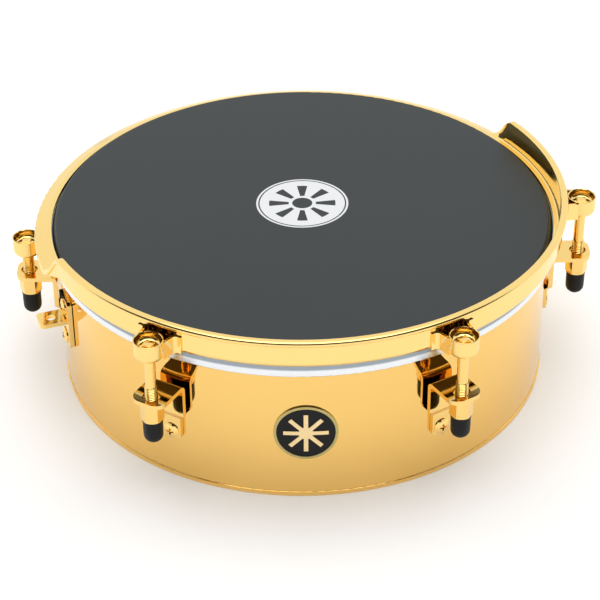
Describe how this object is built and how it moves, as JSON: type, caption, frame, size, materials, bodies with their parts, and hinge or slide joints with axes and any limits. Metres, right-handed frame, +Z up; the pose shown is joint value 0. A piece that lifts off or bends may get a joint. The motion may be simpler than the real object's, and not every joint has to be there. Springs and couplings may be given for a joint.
{
  "type": "timbale drum",
  "caption": "Shallow metal-shelled drum with one head, a rim that is high on one side and turned down on the other, and threaded tension rods.",
  "frame": {"origin": "centre of the shell's bottom edge, on the surface it stands on", "axes": "+Z up, out of the head; -Y is the badge side; the high rim faces -Y and +X"},
  "size_m": [0.3946, 0.3577, 0.1274],
  "materials": {
    "shell_gold": "mirror-polished gold plating over steel",
    "hoop_gold": "polished gold plating over pressed steel",
    "cup_gold": "polished gold plating over steel",
    "rod_gold": "gold-plated, rolled thread",
    "bracket_gold": "polished gold plating over bent strip",
    "nut_gold": "gold-plated hexagon",
    "screw_gold": "gold-plated screw heads",
    "steel": "zinc-plated steel",
    "aluminium": "satin rolled channel",
    "film": "satin polyester film, dark grey",
    "rubber": "matte black rubber",
    "badge_metal": "stamped, lightly lacquered",
    "badge_black": "gloss black enamel"
  },
  "bodies": {
    "drum": {"shell": "shell_gold", "drumhead": "film", "flesh_hoop": "aluminium", "lug_bracket_1": "bracket_gold", "tension_nut_1": "nut_gold", "rubber_cap_1": "rubber", "lug_bracket_2": "bracket_gold", "tension_nut_2": "nut_gold", "rubber_cap_2": "rubber", "lug_bracket_3": "bracket_gold", "tension_nut_3": "nut_gold", "rubber_cap_3": "rubber", "lug_bracket_4": "bracket_gold", "tension_nut_4": "nut_gold", "rubber_cap_4": "rubber", "lug_bracket_5": "bracket_gold", "tension_nut_5": "nut_gold", "rubber_cap_5": "rubber", "lug_bracket_6": "bracket_gold", "tension_nut_6": "nut_gold", "rubber_cap_6": "rubber", "bracket_screws": "screw_gold", "bracket_washers": "steel", "bracket_nuts": "steel", "mount_screws": "screw_gold", "mount_washers": "steel", "mount_nuts": "steel", "mount_bracket": "bracket_gold", "badge_rim": "badge_metal", "badge_plate": "badge_black", "badge_emblem": "badge_metal"},
    "rim": {"hoop": "hoop_gold", "ear_cup_1": "cup_gold", "ear_cup_2": "cup_gold", "ear_cup_3": "cup_gold", "ear_cup_4": "cup_gold", "ear_cup_5": "cup_gold", "ear_cup_6": "cup_gold"},
    "rod_1": {"tension_rod_1": "rod_gold"},
    "rod_2": {"tension_rod_2": "rod_gold"},
    "rod_3": {"tension_rod_3": "rod_gold"},
    "rod_4": {"tension_rod_4": "rod_gold"},
    "rod_5": {"tension_rod_5": "rod_gold"},
    "rod_6": {"tension_rod_6": "rod_gold"}
  },
  "joints": [
    {"name": "hoop_slide", "type": "slide", "parent": "drum", "child": "rim", "axis": [0, 0, 1], "range_m": [0, 0.0075]},
    {"name": "rod_1_spin", "type": "hinge", "parent": "rim", "child": "rod_1", "pos_m": [0.1878, 0, 0.1], "axis": [0, 0, 1], "range_deg": [0, 2160]},
    {"name": "rod_2_spin", "type": "hinge", "parent": "rim", "child": "rod_2", "pos_m": [0.09757, -0.16047, 0.1], "axis": [0, 0, 1], "range_deg": [0, 2160]},
    {"name": "rod_3_spin", "type": "hinge", "parent": "rim", "child": "rod_3", "pos_m": [-0.0939, -0.16264, 0.1], "axis": [0, 0, 1], "range_deg": [0, 2160]},
    {"name": "rod_4_spin", "type": "hinge", "parent": "rim", "child": "rod_4", "pos_m": [-0.1878, 0, 0.1], "axis": [0, 0, 1], "range_deg": [0, 2160]},
    {"name": "rod_5_spin", "type": "hinge", "parent": "rim", "child": "rod_5", "pos_m": [-0.0939, 0.16264, 0.1], "axis": [0, 0, 1], "range_deg": [0, 2160]},
    {"name": "rod_6_spin", "type": "hinge", "parent": "rim", "child": "rod_6", "pos_m": [0.0939, 0.16264, 0.1], "axis": [0, 0, 1], "range_deg": [0, 2160]}
  ],
  "couplings": [
    {"joint": "rod_1_spin", "follows": "hoop_slide", "rad_per_m": 5026.5},
    {"joint": "rod_2_spin", "follows": "hoop_slide", "rad_per_m": 5026.5},
    {"joint": "rod_3_spin", "follows": "hoop_slide", "rad_per_m": 5026.5},
    {"joint": "rod_4_spin", "follows": "hoop_slide", "rad_per_m": 5026.5},
    {"joint": "rod_5_spin", "follows": "hoop_slide", "rad_per_m": 5026.5},
    {"joint": "rod_6_spin", "follows": "hoop_slide", "rad_per_m": 5026.5}
  ]
}
